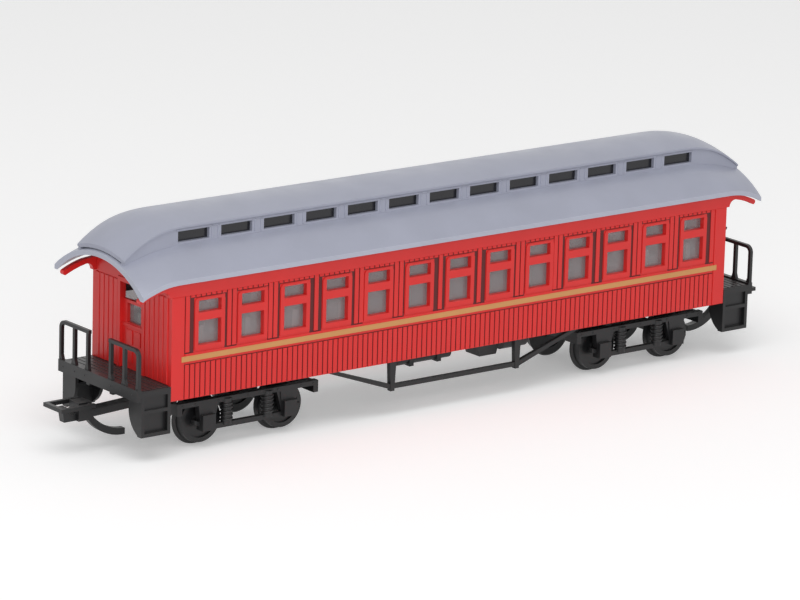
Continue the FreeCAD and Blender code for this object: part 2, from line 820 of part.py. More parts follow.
def coupler_arm():
    """Front drawbar with its head, hook and trailing tail."""
    start = bogie_spacing / 2 + bogie_length / 2 + fit_gap
    low = z(drawbar_height)
    pin = loop_pin()
    head_x0 = pin.x - 1.0
    head_x1 = head_x0 + head_length
    bar_top = low + drawbar_thickness
    bar = [(start, low), (head_x0 + 0.5, low - 0.8), (head_x0 + 0.5, low - 0.8 + drawbar_thickness),
           (start, bar_top)]
    pieces = [plate_y(bar, -drawbar_width / 2, drawbar_width / 2)]
    pieces.append(box(head_x0, head_x1, -head_width / 2, head_width / 2,
                      low - head_drop, low - head_drop + head_height + loop_bar))
    shank = [(head_x1 - 0.5, low - head_drop), (coupler_reach - loop_bar - 1.6, low - head_drop),
             (coupler_reach - loop_bar - 1.0, low + hook_height),
             (coupler_reach - loop_bar - 2.2, low + hook_height),
             (coupler_reach - loop_bar - 3.0, low + 0.4), (head_x1 - 0.5, low + 0.4)]
    pieces.append(plate_y(shank, -loop_bar, loop_bar))
    root = V(head_x0 + 0.6, 0, low - 0.8)
    tip = V(head_x0 - tail_reach + 1.0, 0, root.z - tail_drop + 0.6)
    thick = V(0, 0, 1.4)
    belly = V(root.x * 0.4 + tip.x * 0.6, 0, tip.z * 0.9 + root.z * 0.1)
    edges = [arc(root, belly, tip), line(tip, tip + thick)]
    edges += [arc(tip + thick, belly + thick + V(-0.8, 0, 0), root + V(-1.6, 0, 0)),
              line(root + V(-1.6, 0, 0), root)]
    pieces.append(extrude(edges, V(0, 1.6, 0)).translated(V(0, -0.8, 0)))
    arm = fuse(pieces)
    hole = rod(pin - V(0, head_width, 0), pin + V(0, head_width, 0), loop_pin_dia)
    return arm.cut(hole)


def coupler_loop():
    """Front coupling loop, a flat frame on a cross pin."""
    pin = loop_pin()
    half = loop_width / 2
    bar = loop_bar
    z0 = pin.z - bar / 2
    z1 = pin.z + bar / 2
    pieces = [box(coupler_reach - bar, coupler_reach, -half, half, z0, z1)]
    for y0, y1 in ((half - bar, half), (-half, bar - half)):
        pieces.append(box(pin.x - bar, coupler_reach, y0, y1, z0, z1))
    pieces.append(rod(pin - V(0, half - bar / 2, 0), pin + V(0, half - bar / 2, 0),
                      loop_pin_dia - 2 * running_clearance))
    return fuse(pieces)


# ---------------------------------------------------------------- build
def build_body():
    roof = lower_roof()
    export("lower_roof", roof)
    export("upper_roof", upper_roof(roof))
    export("clerestory_glazing", clerestory_glazing())
    for side in SIDES:
        export("side_wall_" + side, to_side(side_wall(), side))
        export("belt_rail_" + side, to_side(belt_rail(), side))
        export("side_glazing_" + side, to_side(side_glazing(), side))
        export("clerestory_wall_" + side, to_side(clerestory_wall_left(roof), side))
        export("truss_rod_" + side, to_side(truss_rod(), side))
    for end in ENDS:
        export("end_wall_" + end, to_end(end_wall(), end))
        export("end_door_" + end, to_end(end_door(), end))
        export("platform_" + end, to_end(platform(), end))
        export("pivot_head_" + end, to_end(pivot_head(), end))
        for side in SIDES:
            export("steps_" + end + "_" + side, to_end_side(steps(), end, side))
            export("railing_" + end + "_" + side, to_end_side(railing(), end, side))
    export("door_glass", door_glass())
    export("chassis", chassis())
    export("floor_weight", floor_weight())
    export("seats", seats())
    export("brake_staff", brake_staff())
    export("equipment_box", equipment_box())
    export("brake_cylinder", brake_cylinder())
    export("air_reservoir", air_reservoir())


def to_end_side(shape, end, side):
    """Mirror a front left shape to one of the four corners."""
    shape = to_side(shape, side)
    return shape if end == "front" else shape.mirror(V(0, 0, 0), X_AXIS)


def build_bogies():
    for end in ENDS:
        export("bogie_frame_" + end, to_end(bogie_frame(), end))
        export("coupler_arm_" + end, to_end(coupler_arm(), end))
        export("coupler_loop_" + end, to_end(coupler_loop(), end))
        for name, offset in (("outer", wheelbase / 2), ("inner", -wheelbase / 2)):
            shape = wheelset(bogie_spacing / 2 + offset)
            export("wheelset_" + end + "_" + name, to_end(shape, end))


os.makedirs("parts", exist_ok=True)
build_body()
build_bogies()
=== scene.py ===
import json

import bpy
import numpy as np
from mathutils import Matrix, Vector


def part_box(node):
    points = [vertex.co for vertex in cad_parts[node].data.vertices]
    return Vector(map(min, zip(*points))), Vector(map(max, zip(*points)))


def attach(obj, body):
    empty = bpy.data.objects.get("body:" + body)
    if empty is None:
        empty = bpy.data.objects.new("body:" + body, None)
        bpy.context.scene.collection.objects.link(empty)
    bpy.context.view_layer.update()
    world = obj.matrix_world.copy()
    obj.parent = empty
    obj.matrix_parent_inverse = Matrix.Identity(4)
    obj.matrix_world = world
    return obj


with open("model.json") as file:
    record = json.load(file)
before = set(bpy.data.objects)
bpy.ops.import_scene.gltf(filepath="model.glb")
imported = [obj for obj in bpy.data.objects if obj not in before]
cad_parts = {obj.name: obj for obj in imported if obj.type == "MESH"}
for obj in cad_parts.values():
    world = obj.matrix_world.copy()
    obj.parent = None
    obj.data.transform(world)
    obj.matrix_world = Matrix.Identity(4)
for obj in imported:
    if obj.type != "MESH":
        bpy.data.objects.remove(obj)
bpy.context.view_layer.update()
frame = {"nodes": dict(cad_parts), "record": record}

bl_info = {
    "name": "Model Railway Carriage",
    "version": (1, 0, 0),
    "blender": (4, 5, 0),
    "location": "3D View > Sidebar > Carriage",
    "description": "Boards, trim, springs, finishes and studio for a model railway carriage",
    "category": "Object",
}

MM = 0.001
SIDES = {"left": 1.0, "right": -1.0}
ENDS = {"front": 1.0, "rear": -1.0}

# Places along the carriage from its middle, and heights above the floor
WINDOW_COUNT = 13
WINDOW_PITCH = 11.45 * MM
BODY_HALF = 78.7 * MM           # to the face of an end wall
BOARDED_HALF = 75.2 * MM        # to the plain corner posts
FRAME_HALF = 4.0 * MM           # half the width of a window frame
FRAME_TOP = 35.3 * MM
LETTERBOARD_LOW = 36.2 * MM
TUCK = 0.1 * MM                 # how far a backing keeps inside the boards over it


# ---------------------------------------------------------------- settings
class CarriageBoards(bpy.types.PropertyGroup):
    """Sizes of the matchboarding moulded on the walls and platforms."""
    side_pitch: bpy.props.FloatProperty(
        name="Side pitch", description="Distance between the side boards", default=1.38 * MM,
        unit="LENGTH")
    end_pitch: bpy.props.FloatProperty(
        name="End pitch", description="Distance between the end wall boards", default=1.75 * MM,
        unit="LENGTH")
    groove: bpy.props.FloatProperty(
        name="Groove", description="Width of the groove between two boards", default=0.3 * MM,
        unit="LENGTH")
    relief: bpy.props.FloatProperty(
        name="Relief", description="How far a board stands proud of the wall", default=0.25 * MM,
        unit="LENGTH")
    post: bpy.props.FloatProperty(
        name="Corner post", description="Width of the plain post at each corner", default=3.4 * MM,
        unit="LENGTH")
    band: bpy.props.FloatProperty(
        name="Band", description="Plain margin above and below the belt rail", default=0.5 * MM,
        unit="LENGTH")


def color_setting(name, description, value):
    return bpy.props.FloatVectorProperty(
        name=name, description=description, default=value, subtype="COLOR", min=0.0, max=1.0)


class CarriageColors(bpy.types.PropertyGroup):
    """Colours of the mouldings and their print."""
    body: color_setting("Body", "Body moulding", (0.72, 0.02, 0.018))
    # painted shade: a dark red for the backing that shows in the grooves between the boards
    groove: color_setting("Grooves", "Shaded grooves between the boards", (0.09, 0.004, 0.004))
    roof: color_setting("Roof", "Roof mouldings", (0.36, 0.375, 0.46))
    # painted highlight: a paler grey on the roof's outermost rim, where its edge catches the light
    rim: color_setting("Rim", "Painted highlight on the roof rim", (0.45, 0.47, 0.56))
    belt: color_setting("Belt rail", "Printed strip under the windows", (0.62, 0.3, 0.1))
    underframe: color_setting("Underframe", "Platforms and bogies", (0.008, 0.008, 0.009))
    bench: color_setting("Benches", "Seats behind the windows", (0.85, 0.76, 0.72))
    glass: color_setting("Glazing", "Side windows", (0.58, 0.55, 0.56))
    dark_glass: color_setting("Dark glazing", "Clerestory windows", (0.012, 0.012, 0.016))
    plate: color_setting("Floor weight", "Steel plate inside", (0.42, 0.42, 0.43))
    pin: color_setting("Pins", "Steel of the pivot heads", (0.4, 0.4, 0.41))


class CarriageTrim(bpy.types.PropertyGroup):
    """Sizes of the small trim."""
    rivet: bpy.props.FloatProperty(
        name="Rivet", description="Radius of a rivet head", default=0.24 * MM, unit="LENGTH")
    wire: bpy.props.FloatProperty(
        name="Spring wire", description="Radius of the bogie springs' wire", default=0.26 * MM,
        unit="LENGTH")
    turns: bpy.props.IntProperty(
        name="Spring turns", description="Turns of wire in a bogie spring", default=5)
    rib: bpy.props.FloatProperty(
        name="Rib", description="Width of the ribs between the clerestory windows",
        default=0.35 * MM, unit="LENGTH")


class CarriageStage(bpy.types.PropertyGroup):
    """Camera, floor and light."""
    camera: bpy.props.FloatVectorProperty(
        name="Camera", description="Where the camera stands", default=(-0.6886, -0.8844, 0.3187),
        unit="LENGTH")
    lens: bpy.props.FloatProperty(
        name="Lens", description="Focal length in millimetres", default=229.8)
    key_light: bpy.props.FloatProperty(
        name="Key light", description="Power of the overhead softbox in watts", default=3.6)
    fill_light: bpy.props.FloatProperty(
        name="Fill light", description="Power of the side softbox in watts", default=3.2)


# ---------------------------------------------------------------- mesh helpers
def make_piece(name, verts, faces, material, body, smooth=False):
    """Mesh object at the origin from arrays of vertices and quads, riding on a body."""
    mesh = bpy.data.meshes.new(name)
    mesh.from_pydata(verts.tolist(), [], faces.tolist())
    mesh.polygons.foreach_set("use_smooth", np.full(len(faces), smooth))
    mesh.materials.append(material)
    mesh.update()
    piece = bpy.data.objects.new(name, mesh)
    bpy.context.scene.collection.objects.link(piece)
    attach(piece, body)
    return piece


def board_mesh(spans, relief, origin, along, up, out):
    """Bevelled strips laid on a plane.

    Each row of spans is (u0, u1, v0, v1). A strip is three rings of four corners: one on the
    plane, one at 60% of the relief, and one at the full relief drawn in by 40% of it.
    """
    spans = np.asarray(spans, float)
    u0, u1, v0, v1 = spans.T
    inset = relief * 0.4
    rings = []
    for depth, draw in ((0.0, 0.0), (relief * 0.6, 0.0), (relief, inset)):
        u = np.stack([u0 + draw, u1 - draw, u1 - draw, u0 + draw], 1)
        v = np.stack([v0 + draw, v0 + draw, v1 - draw, v1 - draw], 1)
        rings.append(np.stack([u, v, np.full_like(u, depth)], 2))
    local = np.concatenate(rings, 1).reshape(-1, 3)
    basis = np.array([along, up, out], float)
    verts = np.asarray(origin, float) + local @ basis
    quads = [[r * 4 + k, r * 4 + (k + 1) % 4, r * 4 + 4 + (k + 1) % 4, r * 4 + 4 + k]
             for r in (0, 1) for k in range(4)]
    quads.append([8, 9, 10, 11])
    faces = (np.arange(len(spans))[:, None, None] * 12 + np.array(quads)).reshape(-1, 4)
    if np.linalg.det(basis) < 0:
        faces = faces[:, ::-1]
    return verts, faces


def join_meshes(parts):
    """One pair of vertex and face arrays from several."""
    verts = np.concatenate([v for v, _ in parts])
    starts = np.cumsum([0] + [len(v) for v, _ in parts[:-1]])
    return verts, np.concatenate([f + s for (_, f), s in zip(parts, starts)])


def grid_faces(rows, columns, closed=True):
    """Quads of a grid of rows by columns, closed round the columns if asked."""
    r, c = np.meshgrid(np.arange(rows - 1), np.arange(columns if closed else columns - 1),
                       indexing="ij")
    nxt = (c + 1) % columns
    quads = [r * columns + c, r * columns + nxt, (r + 1) * columns + nxt, (r + 1) * columns + c]
    return np.stack(quads, -1).reshape(-1, 4)


def helix_mesh(centre, radius, wire, low, high, turns, sides=8):
    """Coil spring about a vertical axis.

    At angle t the wire's centre is (radius cos t, radius sin t, rising evenly from low to high),
    with a circle of the wire's radius spanned by the outward direction and Z.
    """
    t = np.linspace(0, 2 * np.pi * turns, 20 * turns + 1)[:, None]
    a = np.linspace(0, 2 * np.pi, sides, endpoint=False)[None, :]
    ring = radius + wire * np.cos(a)
    x = centre[0] + ring * np.cos(t)
    y = centre[1] + ring * np.sin(t)
    height = low + (high - low) * t / t[-1] + wire * np.sin(a)
    verts = np.stack([x, y, height + 0 * x], -1).reshape(-1, 3)
    return verts, grid_faces(len(t), sides)[:, ::-1]


def dome_mesh(centres, radius, out, rings=4, sides=10):
    """Rivet heads: half spheres flattened to 60%, with their poles along out."""
    out = np.asarray(out, float)
    side = np.array([out[1], out[2], out[0]])
    across = np.cross(out, side)
    lat = np.linspace(0, np.pi / 2 * 0.97, rings)[:, None]
    lon = np.linspace(0, 2 * np.pi, sides, endpoint=False)[None, :]
    flat = np.cos(lat) * np.ones_like(lon)
    shape = (flat * np.cos(lon))[..., None] * side + (flat * np.sin(lon))[..., None] * across
    shape = shape + (np.sin(lat) * 0.6 * np.ones_like(lon))[..., None] * out
    shape = (shape * radius).reshape(-1, 3)
    centres = np.asarray(centres, float)
    verts = (centres[:, None, :] + shape[None]).reshape(-1, 3)
    one = np.concatenate([grid_faces(rings, sides), cap_faces(rings, sides)])
    faces = (np.arange(len(centres))[:, None, None] * rings * sides + one).reshape(-1, 4)
    return verts, faces


def cap_faces(rings, sides):
    """Quads that close the top ring of a dome, in strips across it."""
    top = (rings - 1) * sides
    k = np.arange(sides // 2 - 1)
    return np.stack([top + k, top + k + 1, top + sides - 2 - k, top + sides - 1 - k], 1)


# ---------------------------------------------------------------- shader groups
def new_group(name, inputs, outputs):
    """Empty shader group with named sockets, as (tree, input node, output node)."""
    tree = bpy.data.node_groups.new(name, "ShaderNodeTree")
    for label, kind, value in inputs:
        socket = tree.interface.new_socket(label, in_out="INPUT", socket_type=kind)
        socket.default_value = value
    for label, kind in outputs:
        tree.interface.new_socket(label, in_out="OUTPUT", socket_type=kind)
    return tree, tree.nodes.new("NodeGroupInput"), tree.nodes.new("NodeGroupOutput")


def noise(tree, vector, scale, detail, scale_socket=None):
    """Noise texture on object coordinates."""
    node = tree.nodes.new("ShaderNodeTexNoise")
    node.inputs["Detail"].default_value = detail
    node.inputs["Scale"].default_value = scale
    tree.links.new(vector, node.inputs["Vector"])
    if scale_socket:
        tree.links.new(scale_socket, node.inputs["Scale"])
    return node


def map_range(tree, value, low, high, to_low, to_high):
    """Map Range node from a socket, with sockets or numbers as its ends."""
    node = tree.nodes.new("ShaderNodeMapRange")
    tree.links.new(value, node.inputs["Value"])
    ends = {"From Min": low, "From Max": high, "To Min": to_low, "To Max": to_high}
    for label, end in ends.items():
        if isinstance(end, (int, float)):
            node.inputs[label].default_value = end
        else:
            tree.links.new(end, node.inputs[label])
    return node.outputs["Result"]


def moulding_group():
    """Surface of injection moulded plastic: a fine orange-peel bump and uneven gloss."""
    tree, source, sink = new_group(
        "MouldedSurface",
        [("Grain", "NodeSocketFloat", 2600.0), ("Depth", "NodeSocketFloat", 0.12),
         ("Gloss Low", "NodeSocketFloat", 0.3), ("Gloss High", "NodeSocketFloat", 0.42)],
        [("Roughness", "NodeSocketFloat"), ("Normal", "NodeSocketVector")])
    coords = tree.nodes.new("ShaderNodeTexCoord").outputs["Object"]
    fine = noise(tree, coords, 2600.0, 3.0, source.outputs["Grain"])
    broad = noise(tree, coords, 130.0, 2.0)
    rough = map_range(tree, broad.outputs["Fac"], 0.3, 0.7,
                      source.outputs["Gloss Low"], source.outputs["Gloss High"])
    bump = tree.nodes.new("ShaderNodeBump")
    bump.inputs["Distance"].default_value = 0.00003
    tree.links.new(source.outputs["Depth"], bump.inputs["Strength"])
    tree.links.new(fine.outputs["Fac"], bump.inputs["Height"])
    tree.links.new(rough, sink.inputs["Roughness"])
    tree.links.new(bump.outputs["Normal"], sink.inputs["Normal"])
    return tree


def tone_group():
    """Colour of a moulding: soft cloudy variation and paler dust on what faces up."""
    tree, source, sink = new_group(
        "PlasticTone",
        [("Color", "NodeSocketColor", (0.5, 0.5, 0.5, 1.0)),
         ("Cloud", "NodeSocketFloat", 0.06), ("Dust", "NodeSocketFloat", 0.03)],
        [("Color", "NodeSocketColor")])
    coords = tree.nodes.new("ShaderNodeTexCoord").outputs["Object"]
    cloud = noise(tree, coords, 90.0, 4.0)
    low = tree.nodes.new("ShaderNodeMath")
    low.operation = "SUBTRACT"
    low.inputs[0].default_value = 1.0
    tree.links.new(source.outputs["Cloud"], low.inputs[1])
    value = map_range(tree, cloud.outputs["Fac"], 0.3, 0.7, low.outputs[0], 1.0)
    tint = tree.nodes.new("ShaderNodeHueSaturation")
    tree.links.new(source.outputs["Color"], tint.inputs["Color"])
    tree.links.new(value, tint.inputs["Value"])
    normal = tree.nodes.new("ShaderNodeNewGeometry").outputs["Normal"]
    split = tree.nodes.new("ShaderNodeSeparateXYZ")
    tree.links.new(normal, split.inputs["Vector"])
    upward = map_range(tree, split.outputs["Z"], 0.5, 1.0, 0.0, source.outputs["Dust"])
    specks = noise(tree, coords, 900.0, 5.0)
    speck = map_range(tree, specks.outputs["Fac"], 0.35, 0.75, 0.2, 1.0)
    amount = tree.nodes.new("ShaderNodeMath")
    amount.operation = "MULTIPLY"
    tree.links.new(upward, amount.inputs[0])
    tree.links.new(speck, amount.inputs[1])
    mix = tree.nodes.new("ShaderNodeMix")
    mix.data_type = "RGBA"
    mix.inputs["B"].default_value = (0.62, 0.6, 0.57, 1.0)
    tree.links.new(amount.outputs[0], mix.inputs["Factor"])
    tree.links.new(tint.outputs["Color"], mix.inputs["A"])
    tree.links.new(mix.outputs["Result"], sink.inputs["Color"])
    return tree


def beyond_group():
    """Mask that is 1 where the size of an object coordinate is past an edge, for a painted
    highlight on a rim.
    """
    tree, source, sink = new_group(
        "BeyondMask",
        [("Edge Y", "NodeSocketFloat", 1.0), ("Edge X", "NodeSocketFloat", 1.0)],
        [("Mask", "NodeSocketFloat")])
    coords = tree.nodes.new("ShaderNodeTexCoord").outputs["Object"]
    split = tree.nodes.new("ShaderNodeSeparateXYZ")
    tree.links.new(coords, split.inputs["Vector"])
    found = []
    for axis in ("Y", "X"):
        size = tree.nodes.new("ShaderNodeMath")
        size.operation = "ABSOLUTE"
        tree.links.new(split.outputs[axis], size.inputs[0])
        beyond = tree.nodes.new("ShaderNodeMath")
        beyond.operation = "GREATER_THAN"
        tree.links.new(size.outputs[0], beyond.inputs[0])
        tree.links.new(source.outputs["Edge " + axis], beyond.inputs[1])
        found.append(beyond.outputs[0])
    either = tree.nodes.new("ShaderNodeMath")
    either.operation = "MAXIMUM"
    tree.links.new(found[0], either.inputs[0])
    tree.links.new(found[1], either.inputs[1])
    tree.links.new(either.outputs[0], sink.inputs["Mask"])
    return tree


# ---------------------------------------------------------------- materials
def new_material(name):
    """Material with only a Principled BSDF, as (material, tree, shader)."""
    material = bpy.data.materials.new(name)
    material.use_nodes = True
    return material, material.node_tree, material.node_tree.nodes["Principled BSDF"]


def add_group(tree, group, **values):
    """Instance of a shader group with values set by socket name."""
    node = tree.nodes.new("ShaderNodeGroup")
    node.node_tree = group
    for label, value in values.items():
        node.inputs[label.replace("_", " ")].default_value = value
    return node


def plastic(name, groups, color, gloss, cloud=0.06, dust=0.03, depth=0.12, rim=None):
    """Moulded plastic in one colour, with a second colour beyond a rim if given, as a painted
    highlight.
    """
    material, tree, shader = new_material(name)
    surface = add_group(tree, groups["moulding"], Gloss_Low=gloss[0], Gloss_High=gloss[1],
                        Depth=depth)
    tone = add_group(tree, groups["tone"], Color=color + (1.0,), Cloud=cloud, Dust=dust)
    tree.links.new(surface.outputs["Roughness"], shader.inputs["Roughness"])
    tree.links.new(surface.outputs["Normal"], shader.inputs["Normal"])
    # painted highlight: the paler rim colour past the edges
    if rim:
        edge_y, edge_x, highlight_color = rim
        mask = add_group(tree, groups["beyond"], Edge_Y=edge_y, Edge_X=edge_x)
        mix = tree.nodes.new("ShaderNodeMix")
        mix.data_type = "RGBA"
        mix.inputs["A"].default_value = color + (1.0,)
        mix.inputs["B"].default_value = highlight_color + (1.0,)
        tree.links.new(mask.outputs["Mask"], mix.inputs["Factor"])
        tree.links.new(mix.outputs["Result"], tone.inputs["Color"])
    tree.links.new(tone.outputs["Color"], shader.inputs["Base Color"])
    return material


def glazing(name, groups, color, roughness, transmission):
    """Clear or dark moulded window strip."""
    material, tree, shader = new_material(name)
    shader.inputs["Base Color"].default_value = color + (1.0,)
    shader.inputs["Transmission Weight"].default_value = transmission
    shader.inputs["IOR"].default_value = 1.49
    surface = add_group(tree, groups["moulding"], Gloss_Low=roughness, Gloss_High=roughness * 2,
                        Grain=500.0, Depth=0.08)
    tree.links.new(surface.outputs["Roughness"], shader.inputs["Roughness"])
    tree.links.new(surface.outputs["Normal"], shader.inputs["Normal"])
    return material


def steel(name, groups, color):
    """Rolled or turned steel."""
    material, tree, shader = new_material(name)
    shader.inputs["Metallic"].default_value = 1.0
    tone = add_group(tree, groups["tone"], Color=color + (1.0,), Cloud=0.15, Dust=0.0)
    surface = add_group(tree, groups["moulding"], Gloss_Low=0.28, Gloss_High=0.45, Grain=4000.0)
    tree.links.new(tone.outputs["Color"], shader.inputs["Base Color"])
    tree.links.new(surface.outputs["Roughness"], shader.inputs["Roughness"])
    tree.links.new(surface.outputs["Normal"], shader.inputs["Normal"])
    return material


def make_materials(colors):
    """Every finish of the carriage by the record's slot name, and the shade in the grooves."""
    groups = {"moulding": moulding_group(), "tone": tone_group(), "beyond": beyond_group()}
    shade = {name: tuple(getattr(colors, name)) for name in colors.bl_rna.properties.keys()
             if name not in ("rna_type", "name")}
    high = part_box("lower_roof")[1]
    # painted highlight: the outermost rim of the lower roof is given the paler rim colour
    rim = (high[1] - 0.06 * MM, high[0] - 0.05 * MM, shade["rim"])
    return {
        "red_body": plastic("RedPlastic", groups, shade["body"], (0.3, 0.42)),
        # painted shade: dark red backing that stands in for the shade in the grooves
        "groove_shade": plastic("GrooveShade", groups, shade["groove"], (0.5, 0.6), dust=0.0),
        "roof_grey": plastic("RoofGrey", groups, shade["roof"], (0.3, 0.42), cloud=0.08, rim=rim),
        "belt_tan": plastic("BeltTan", groups, shade["belt"], (0.35, 0.45)),
        "underframe_black": plastic("BlackPlastic", groups, shade["underframe"], (0.36, 0.5),
                                    dust=0.05, depth=0.2),
        "wheel_black": plastic("WheelBlack", groups, shade["underframe"], (0.3, 0.42)),
        "seat_pale": plastic("BenchPale", groups, shade["bench"], (0.4, 0.55)),
        "window_glazing": glazing("WindowGlazing", groups, shade["glass"], 0.08, 0.7),
        "dark_glazing": glazing("DarkGlazing", groups, shade["dark_glass"], 0.15, 0.0),
        "steel_weight": steel("WeightSteel", groups, shade["plate"]),
        "pin_steel": steel("PinSteel", groups, shade["pin"]),
    }


def assign_materials(materials):
    """Give every frame node the material of its slot in the record."""
    slots = {s["node"]: s["material_slot"] for s in frame["record"]["subparts"]}
    for node, piece in frame["nodes"].items():
        piece.data.materials.clear()
        piece.data.materials.append(materials[slots[node]])


# ---------------------------------------------------------------- pieces
def window_centres():
    """Window centres along X: evenly spaced about the middle."""
    return (np.arange(WINDOW_COUNT) - (WINDOW_COUNT - 1) / 2) * WINDOW_PITCH


def upright_spans(x, width, low, high):
    """Spans (x0, x1, z0, z1) of uprights of one width centred at each x."""
    full = np.ones_like(x)
    return np.stack([x - width / 2, x + width / 2, low * full, high * full], 1)


def side_spans(cfg):
    """Board spans (x0, x1, z0, z1) of one side wall.

    Boards stand at whole pitches from the middle: one row under the belt rail, and one above it
    that is full height between window frames and short over them. Two corner posts and the
    plain band behind the belt rail follow.
    """
    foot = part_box("side_wall_left")[0][2] + 0.02 * MM
    belt_low, belt_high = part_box("belt_rail_left")
    band_low = belt_low[2] - cfg.band
    band_high = belt_high[2] + cfg.band
    count = int((BODY_HALF - cfg.post) / cfg.side_pitch - 0.5)
    x = np.arange(-count, count + 1) * cfg.side_pitch
    width = cfg.side_pitch - cfg.groove
    to_window = np.abs(x[:, None] - window_centres()[None, :]).min(1)
    over_window = to_window < FRAME_HALF + cfg.groove / 2 + width / 2
    lower = upright_spans(x, width, foot, band_low - cfg.groove)
    tall = upright_spans(x[~over_window], width, band_high + cfg.groove, LETTERBOARD_LOW)
    short = upright_spans(x[over_window], width, FRAME_TOP + cfg.groove, LETTERBOARD_LOW)
    edge = (count + 0.5) * cfg.side_pitch + cfg.groove / 2
    plain = [(-BODY_HALF, -edge, foot, LETTERBOARD_LOW), (edge, BODY_HALF, foot, LETTERBOARD_LOW),
             (-edge + cfg.groove, edge - cfg.groove, band_low, band_high)]
    return np.concatenate([lower, tall, short, plain])


def groove_shade_spans(cfg):
    """Spans (x0, x1, z0, z1) of the dark backing that shows in the grooves between boards as
    painted shade.
    """
    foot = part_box("side_wall_left")[0][2] + TUCK
    belt_low, belt_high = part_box("belt_rail_left")
    centres = window_centres()
    half = FRAME_HALF + TUCK
    top = LETTERBOARD_LOW - TUCK
    starts = np.concatenate([[-BOARDED_HALF], centres + half])
    stops = np.concatenate([centres - half, [BOARDED_HALF]])
    between = np.stack([starts, stops, np.full(len(starts), belt_high[2] + cfg.band),
                        np.full(len(starts), top)], 1)
    above = upright_spans(centres, 2 * half, FRAME_TOP + TUCK, top)
    below = [(-BOARDED_HALF, BOARDED_HALF, foot, belt_low[2] - cfg.band - cfg.groove / 2)]
    return np.concatenate([between, above, below])


def make_side_layer(name, spans, relief, material):
    """One layer of strips on the plain face of both side walls."""
    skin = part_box("belt_rail_left")[0][1]
    for side, sign in SIDES.items():
        verts, faces = board_mesh(spans, relief, (0, sign * skin, 0), (1, 0, 0), (0, 0, 1),
                                  (0, sign, 0))
        make_piece(name + side, verts, faces, material, "coach")


def make_side_boards(cfg, materials):
    """Matchboards of both sides, over a dark backing of painted shade a hair proud of the plain
    wall.
    """
    backing = 0.02 * MM
    # painted shade: a dark sheet under the boards, seen only in the grooves
    make_side_layer("side_grooves_", groove_shade_spans(cfg), backing, materials["groove_shade"])
    make_side_layer("side_boards_", side_spans(cfg), cfg.relief, materials["red_body"])


def make_end_boards(cfg, materials):
    """Matchboards of both end walls, either side of the door casing."""
    low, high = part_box("end_wall_front")
    casing_relief = 0.3 * MM
    relief = 0.22 * MM
    inner = 5.4 * MM
    outer = high[1] + 0.95 * MM
    top = 36.0 * MM
    face = high[0] - casing_relief
    count = int((outer - inner) / cfg.end_pitch)
    start = inner + np.arange(count) * cfg.end_pitch
    width = cfg.end_pitch - cfg.groove
    for end, sign in ENDS.items():
        parts = []
        for side in SIDES.values():
            edges = np.sort(np.stack([side * start, side * (start + width)], 1), 1)
            spans = np.column_stack([edges, np.full(count, low[2] + TUCK), np.full(count, top)])
            parts.append(board_mesh(spans, relief, (sign * face, 0, 0), (0, 1, 0), (0, 0, 1),
                                    (sign, 0, 0)))
        verts, faces = join_meshes(parts)
        make_piece("end_boards_" + end, verts, faces, materials["red_body"], "coach")


def make_platform_boards(materials):
    """Plank lines across both platform floors."""
    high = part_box("platform_front")[1]
    count = 5
    groove = 0.25 * MM
    relief = 0.12 * MM
    floor = high[2] - 0.45 * MM
    x0 = BODY_HALF + 0.5 * MM
    x1 = high[0] - 1.3 * MM
    half = high[1] - 0.3 * MM
    pitch = (x1 - x0) / count
    start = x0 + np.arange(count) * pitch
    for end, sign in ENDS.items():
        edges = np.sort(np.stack([sign * start, sign * (start + pitch - groove)], 1), 1)
        spans = np.column_stack([edges, np.full(count, -half), np.full(count, half)])
        verts, faces = board_mesh(spans, relief, (0, 0, floor), (1, 0, 0), (0, 1, 0), (0, 0, 1))
        make_piece("platform_boards_" + end, verts, faces, materials["underframe_black"], "coach")


def make_clerestory_ribs(cfg, materials):
    """Paired ribs on the posts between the clerestory windows, and a rail over them."""
    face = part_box("clerestory_wall_left")[1][1]
    centres = window_centres()
    posts = (centres[:-1] + centres[1:]) / 2
    spread = 0.8 * MM
    relief = 0.16 * MM
    reach = centres[-1] + 4.6 * MM
    ribs = upright_spans(np.concatenate([posts - spread, posts + spread]), cfg.rib,
                         46.3 * MM, 49.2 * MM)
    rail = [(-reach, reach, 48.95 * MM, 49.25 * MM)]
    spans = np.concatenate([ribs, rail])
    for side, sign in SIDES.items():
        verts, faces = board_mesh(spans, relief, (0, sign * face, 0), (1, 0, 0), (0, 0, 1),
                                  (0, sign, 0))
        make_piece("clerestory_ribs_" + side, verts, faces, materials["roof_grey"], "coach")


def bogie_centre():
    """Middle of the front bogie along X."""
    low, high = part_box("bogie_frame_front")
    return (low[0] + high[0]) / 2


def make_springs(cfg, materials):
    """Coil springs wound round the four spring posts of each bogie."""
    step = 5.5 * MM
    spread = 11.9 * MM
    radius = 1.25 * MM
    low = 5.3 * MM
    high = 9.7 * MM
    for end, sign in ENDS.items():
        centre = sign * bogie_centre()
        spots = [(centre + a * step, b * spread) for a in (-1, 1) for b in (-1, 1)]
        verts, faces = join_meshes([helix_mesh(spot, radius, cfg.wire, low, high, cfg.turns)
                                    for spot in spots])
        make_piece("springs_" + end, verts, faces, materials["underframe_black"], end + "_bogie",
                   smooth=True)


def make_bogie_rivets(cfg, materials):
    """Rivet heads along the top bars of the bogie side frames."""
    steps = np.array([-17.6, -14.2, -8.0, 0.0, 8.0, 14.2, 17.6]) * MM
    face = 12.5 * MM
    height = 10.55 * MM
    for end, sign in ENDS.items():
        x = sign * bogie_centre() + steps
        parts = []
        for side in SIDES.values():
            spots = np.stack([x, np.full(len(x), side * face), np.full(len(x), height)], 1)
            parts.append(dome_mesh(spots, cfg.rivet, (0, side, 0)))
        verts, faces = join_meshes(parts)
        make_piece("bogie_rivets_" + end, verts, faces, materials["underframe_black"],
                   end + "_bogie", smooth=True)


